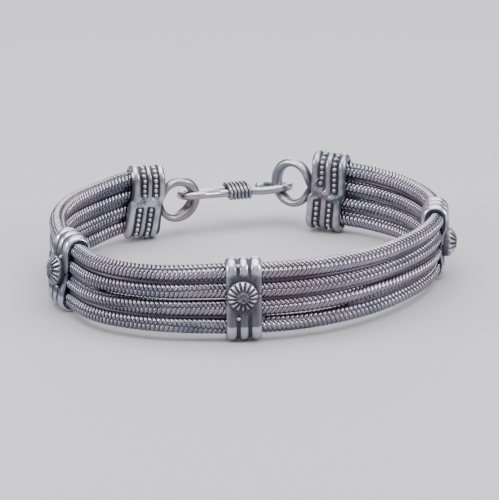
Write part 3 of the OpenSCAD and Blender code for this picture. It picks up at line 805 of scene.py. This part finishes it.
def bead_row(cap, bead_x, flooded, rng):
    """One row of beads round a cap with their wear, at even steps and a little out of place
    and out of size. Beads under the solder are left out. In a flooded row it covers more of
    them, and the others above it sit lower."""
    oval = flat_oval(cap.high - 2 * RIM_RISE + 2 * BEAD_STAND,
                     CAP_THICK - 2 * RIM_RISE + 2 * BEAD_STAND, BEAD_COUNT)
    rho = CAP_THICK / 2 - RIM_RISE + BEAD_STAND
    z = oval[0] + rho * oval[2]
    near = ramp(cap.wrist * oval[1], 0.2, 0.9)
    above = z - cap.solder_z
    hidden = (near > 0.5) & (np.abs(above) < 0.75)
    if flooded:
        hidden = hidden | (near > 0.5) & (np.abs(above - 1.4) < 1.3)
        rho = rho - 0.14 * (near > 0.5) * (above > 0)
    uneven = rng.uniform(-0.03, 0.03, BEAD_COUNT)
    centres = np.stack([bead_x + askew(cap, z, near) + uneven, rho * oval[1],
                        oval[0] + rho * oval[2]], axis=-1)
    sizes = BEAD / 2 * rng.uniform(0.94, 1.03, (~hidden).sum())
    return *capped_tubes(*balls(centres[~hidden], sizes)), 0.9 * cap.tone


def drowned_bead(cap):
    """The larger bead that shows in the pit of the solder, with its wear."""
    out = cap.wrist * (CAP_THICK / 2 - RIM_RISE + 0.05)
    centres = np.array([[bead_places(cap)[1], out, cap.solder_z + cap.drowned]])
    return *capped_tubes(*balls(centres, 0.44)), 0.75


def end_plate(cap):
    """The plate in the clasp end of a cap with its wear: flat ovals from its back over its
    rounded edge to the middle of its face."""
    oval = flat_oval(cap.high, CAP_THICK, 96)
    rho = np.array([1.7, 1.86, 1.86, 1.8, 1.2, 0.4])[:, None]
    step = np.array([-PLATE_THICK, -PLATE_THICK + 0.1, -0.1, 0, 0.01, 0.02])[:, None]
    x = CAP_HALF - PLATE_DEEP + step
    rings = np.stack([x + 0 * oval[0][None], rho * oval[1], oval[0] + rho * oval[2]], axis=-1)
    ends = np.array([[[x[0, 0], 0, 0], [x[-1, 0], 0, 0]]])
    return *capped_tubes(rings[None], ends), 0.3


def wire_ring(cap):
    """The ring of a cap about its own middle, with its wear, painted shade and stain: a squared
    oval, wider along the ring's axis, carried round the loop, thinner towards its foot and then
    turned by the roll."""
    path, normal = ring_loop(cap.ring_r, cap.point, 72)
    around = np.linspace(0, 2 * np.pi, 16, endpoint=False)
    thin = 1 - cap.thinning * ramp(-path[:, :1], -0.7 * cap.ring_r, 0.95 * cap.point)
    section = np.stack([np.cos(around), np.sin(around)])
    section = np.sign(section) * np.abs(section) ** 0.8
    outward = cap.wire / 2 * (thin * section[:1] + 1 - thin)
    radial = path[:, None] + outward[..., None] * normal[:, None]
    axial = cap.wire / 2 * RING_AXIAL * thin * section[1:]
    points = np.stack([radial[..., 0], axial, radial[..., 1]], axis=-1).reshape(-1, 3)
    quads = grid_faces(len(path), len(around), close_rows=True)
    # The wire is darkened towards its foot on the plate, and a little on its inner face, as painted
    # shade. The warm stain on the lower inner face is real.
    inside = ramp(-np.cos(around), 0.1, 0.8)[None, :]
    foot = ramp(-path[:, 0], cap.ring_r - 0.5, cap.point)[:, None]
    wear = 0.78 * (1 - 0.75 * foot) * (1 - 0.06 * inside)
    low = ramp(-path[:, 1] + 0.6 * path[:, 0], -1.5, 2.5)[:, None]
    stain = cap.warm * (0.25 + 0.75 * inside * low)
    return turned(points, 0, cap.roll), quads, NO_TRIANGLES, wear.ravel(), stain.ravel()


# Sterling sheet with beaded wire, oxidised: as the sleeves, with stronger clouds of tarnish
# and a slightly deeper grain.
cap_silver = oxidised_silver("silver sheet and beaded wire oxidised", SLEEVE_STOPS, rough_deep=0.55,
                             rough_worn=0.3, grain_mm=0.3, grain_depth=0.03, blotch=0.35)
ring_far = {}
for name, cap in CAPS.items():
    way = unit(ROUTE[cap.inner, :2] - ROUTE[cap.entry, :2])
    yaw = np.degrees(np.arctan2(way[1], way[0]))
    middle = ROUTE[cap.entry, :2] + way * (CAP_HALF + 0.1)
    seat = ([*middle, cap.high / 2 + cap.lift], yaw, cap.slant, cap.lean)
    rng = np.random.default_rng(7 + cap.inner)
    parts = [beaded_strip(cap)]
    for bead_x, flooded in zip(bead_places(cap), (False, bool(cap.drowned))):
        parts.append(bead_row(cap, bead_x, flooded, rng))
    if cap.drowned:
        parts.append(drowned_bead(cap))
    parts.append(end_plate(cap))
    parts = [(place_on(points, *seat), *more) for points, *more in parts]

    turn_z = yaw + cap.ring_turn
    forward = np.array([np.cos(np.radians(turn_z)), np.sin(np.radians(turn_z))])
    foot = middle + way * (CAP_HALF - PLATE_DEEP + 0.35)
    centre = np.array([*(foot + forward * cap.point), cap.high / 2 + cap.ring_up])
    points, *more = wire_ring(cap)
    parts.append((turned(points, 2, turn_z) + centre, *more))
    add_piece(f"beaded_cap_{name}", parts, cap_silver, f"cap_{name}")
    ring_far[name] = (centre, forward, cap.ring_r)

# Hook
# One silver wire bent double: a closed eye round the left ring, two legs side by side, and
# at the far end a hook that goes behind the right ring and turns back towards the viewer.

# Thickness of the wire, radius of its bends, and gap from a leg to the middle.
HOOK_WIRE, HOOK_BEND, LEG_CLEAR = 1.35, 1.65, 0.05
# Thickness of the binding's wire, step from turn to turn, number of turns, distance of the
# first from the left ring, and gap to the legs.
WRAP_WIRE, WRAP_PITCH, WRAP_TURNS, WRAP_START, WRAP_CLEAR = 0.6, 0.66, 6, 5.8, 0.04


def far_side(name, z):
    """The point of a ring's middle line farthest from its cap at one height."""
    centre, forward, r = ring_far[name]
    return np.array([*(centre[:2] + forward * np.sqrt(r * r - (z - centre[2]) ** 2)), z])


# The hook hangs at these heights in the two rings.
hook_a, hook_b = far_side("left", 6.3), far_side("right", 6.0)
span = np.linalg.norm(hook_b - hook_a)
hook_u = (hook_b - hook_a) / span
leg = HOOK_WIRE / 2 + LEG_CLEAR
wrap_end = WRAP_START + WRAP_TURNS * WRAP_PITCH


def far_way(u):
    """Direction from the near leg to the far one, level across the bar and then rolled
    down at the eye and at the hook by 9 degrees, and up by 6 where the legs run together."""
    together = ramp(u, 2.5, 4.5) * (1 - ramp(u, span - 2.4, span - 0.6))
    roll = np.radians(9 - 15 * together)[..., None]
    level = np.array([-hook_u[1], hook_u[0], 0])
    return np.cos(roll) * level - np.sin(roll) * np.array([0, 0, 1])


def half_turn(u, v):
    """Nine places on a half circle from one leg's line to the other's."""
    a = np.linspace(0, np.pi, 9)
    return [(u - np.sign(v) * HOOK_BEND * np.sin(t), v * np.cos(t)) for t in a]


def round_wire(path, across, thick, sides, taper):
    """Rings round a path, of a wire whose ends are rounded over the last taper rings: the
    radius there goes with the root of 1 - 0.93 (1 - k)^2 at the share k of them."""
    t_way = ways(path)
    side = unit(np.cross(across, t_way))
    other = np.cross(t_way, side)
    a = np.linspace(0, 2 * np.pi, sides, endpoint=False)
    k = np.arange(len(path))
    near = np.minimum(np.minimum(k, k[::-1]) / taper, 1)
    r = thick / 2 * np.sqrt(1 - 0.93 * (1 - near) ** 2)
    ring = np.cos(a)[None, :, None] * side[:, None] + np.sin(a)[None, :, None] * other[:, None]
    return path[:, None] + r[:, None, None] * ring


# Places on the hook's middle line: along the line from ring to ring, and to the far side.
outline = [(wrap_end + 0.3, leg), (WRAP_START - 1, leg), (WRAP_START - 2.2, leg + 0.18),
           (1.6, HOOK_BEND - 0.12), (0.4, HOOK_BEND), *half_turn(-0.6, HOOK_BEND),
           (0.4, -HOOK_BEND), (1.6, -HOOK_BEND + 0.12), (WRAP_START - 2.2, -leg - 0.18),
           (WRAP_START - 1, -leg), (wrap_end, -leg), (span - 3.4, -leg - 0.35),
           (span - 1.6, -HOOK_BEND + 0.3), (span - 0.3, -HOOK_BEND),
           *half_turn(span + 0.2, -HOOK_BEND), (span - 0.3, HOOK_BEND),
           (span - 1.8, HOOK_BEND - 0.25), (span - 2.8, 0.95), (span - 3.8, 1.0)]
outline = np.array(outline)
path = smooth_path(hook_a + outline[:, :1] * hook_u + outline[:, 1:] * far_way(outline[:, 0]), 8)
rings = round_wire(path, np.array([[0, 0, 1.0]]), HOOK_WIRE, 18, 4)
points, quads, triangles = capped_tubes(rings[None], path[[0, -1]][None])
# Painted shade: the wire is darkened where the two legs face each other, along the bar round the
# binding.
between = np.abs((points - hook_a) @ far_way(np.array(8.0)))
wear = 0.93 - 0.6 * (1 - ramp(between, 0.1, 0.45)) * (np.abs((points - hook_a) @ hook_u - 7) < 4)
# Drawn sterling wire, polished by handling: an even satin shine, with warm brown tarnish only
# under the binding, and painted shade where the two legs face each other.
HOOK_STOPS = [(0.0, "#33292b"), (0.35, "#4f4549"), (0.7, "#85828a"), (1.0, "#b9b6bd")]
hook_silver = oxidised_silver("polished silver wire", HOOK_STOPS, rough_deep=0.45, rough_worn=0.3,
                              grain_mm=0.4, grain_depth=0.015, blotch=0.2)
add_piece("clasp_hook", [(points, quads, triangles, wear)], hook_silver, "hook")

# Binding
# Thinner silver wire wound six times round the hook's two legs, each turn tight by the
# next, with its two ends rounded off.

steps_per_turn = 28
turn_count = WRAP_TURNS * steps_per_turn + 1
a = 2 * np.pi * np.arange(turn_count) / steps_per_turn
wrap_r = HOOK_WIRE / 2 + WRAP_WIRE / 2 + WRAP_CLEAR
along = WRAP_START + WRAP_PITCH * np.arange(turn_count) / steps_per_turn
sideways = np.cos(a) * wrap_r + leg * np.clip(3 * np.cos(a), -1, 1)
hook_v = far_way(along)
path = (hook_a + along[:, None] * hook_u + sideways[:, None] * hook_v
        + wrap_r * np.sin(a)[:, None] * np.cross(hook_u, hook_v))
rings = round_wire(path, hook_u[None], WRAP_WIRE, 12, 3)
points, quads, triangles = capped_tubes(rings[None], path[[0, -1]][None])
inward = np.linalg.norm(points - (hook_a + ((points - hook_a) @ hook_u)[:, None] * hook_u), axis=1)
wear = ramp(inward, 0.9, 1.5) * 0.82
add_piece("hook_binding", [(points, quads, triangles, wear)], hook_silver, "hook_wrap")

# Floor, light and camera
# A plain pale floor, a large soft light overhead, weaker ones behind, in front and at both
# sides, and the camera a little above the bracelet, in front of the middle station.

FLOOR_HALF = 1500.0
floor_points = FLOOR_HALF * np.array([(-1, -1, 0), (1, -1, 0), (1, 1, 0), (-1, 1, 0)])
floor = add_mesh("floor", floor_points, np.array([[0, 1, 2, 3]]))
# Matt paper: an even pale grey with no shine.
paper = bpy.data.materials.new("pale paper")
paper.use_nodes = True
paper.node_tree.nodes["Principled BSDF"].inputs["Base Color"].default_value = linear("#a3a2a7")
paper.node_tree.nodes["Principled BSDF"].inputs["Roughness"].default_value = 0.9
floor.data.materials.append(paper)


def soft_light(name, place, target, size, power):
    """A square area light at a place in millimetres, facing a target, of a size in
    millimetres and a power in watts."""
    data = bpy.data.lights.new(name, "AREA")
    data.size = size * MM
    data.energy = power
    lamp = bpy.data.objects.new(name, data)
    lamp.location = Vector(place) * MM
    lamp.rotation_euler = (Vector(target) - Vector(place)).to_track_quat("-Z", "Y").to_euler()
    bpy.context.scene.collection.objects.link(lamp)


soft_light("overhead", (0, 0, 480), (0, 0, 0), 620, 7.2)
soft_light("behind", (0, 700, 260), (0, 0, 10), 380, 2)
soft_light("front", (0, -720, 350), (0, 0, 5), 700, 1.25)
soft_light("left_fill", (-480, -120, 200), (0, 0, 5), 200, 2.5)
soft_light("right_fill", (480, -120, 220), (0, 0, 5), 200, 2.5)
world = bpy.data.worlds.new("room")
world.use_nodes = True
world.node_tree.nodes["Background"].inputs["Color"].default_value = linear("#b9b9c0")
world.node_tree.nodes["Background"].inputs["Strength"].default_value = 0.8
bpy.context.scene.world = world

# A long lens nearly 0.6 m away, aimed and shifted so that the bracelet fills the frame as in
# the photograph.
lens = bpy.data.cameras.new("camera")
lens.lens = 264.2
lens.sensor_width = 36
lens.clip_start = 0.05
lens.shift_x = -0.001
lens.shift_y = 0.0074
camera = bpy.data.objects.new("camera", lens)
camera.location = Vector((-0.5, -559.6, 192.6)) * MM
aim = Vector((-0.5, -5.2, 6.0)) * MM
camera.rotation_euler = (aim - camera.location).to_track_quat("-Z", "Y").to_euler()
bpy.context.scene.collection.objects.link(camera)
bpy.context.scene.camera = camera
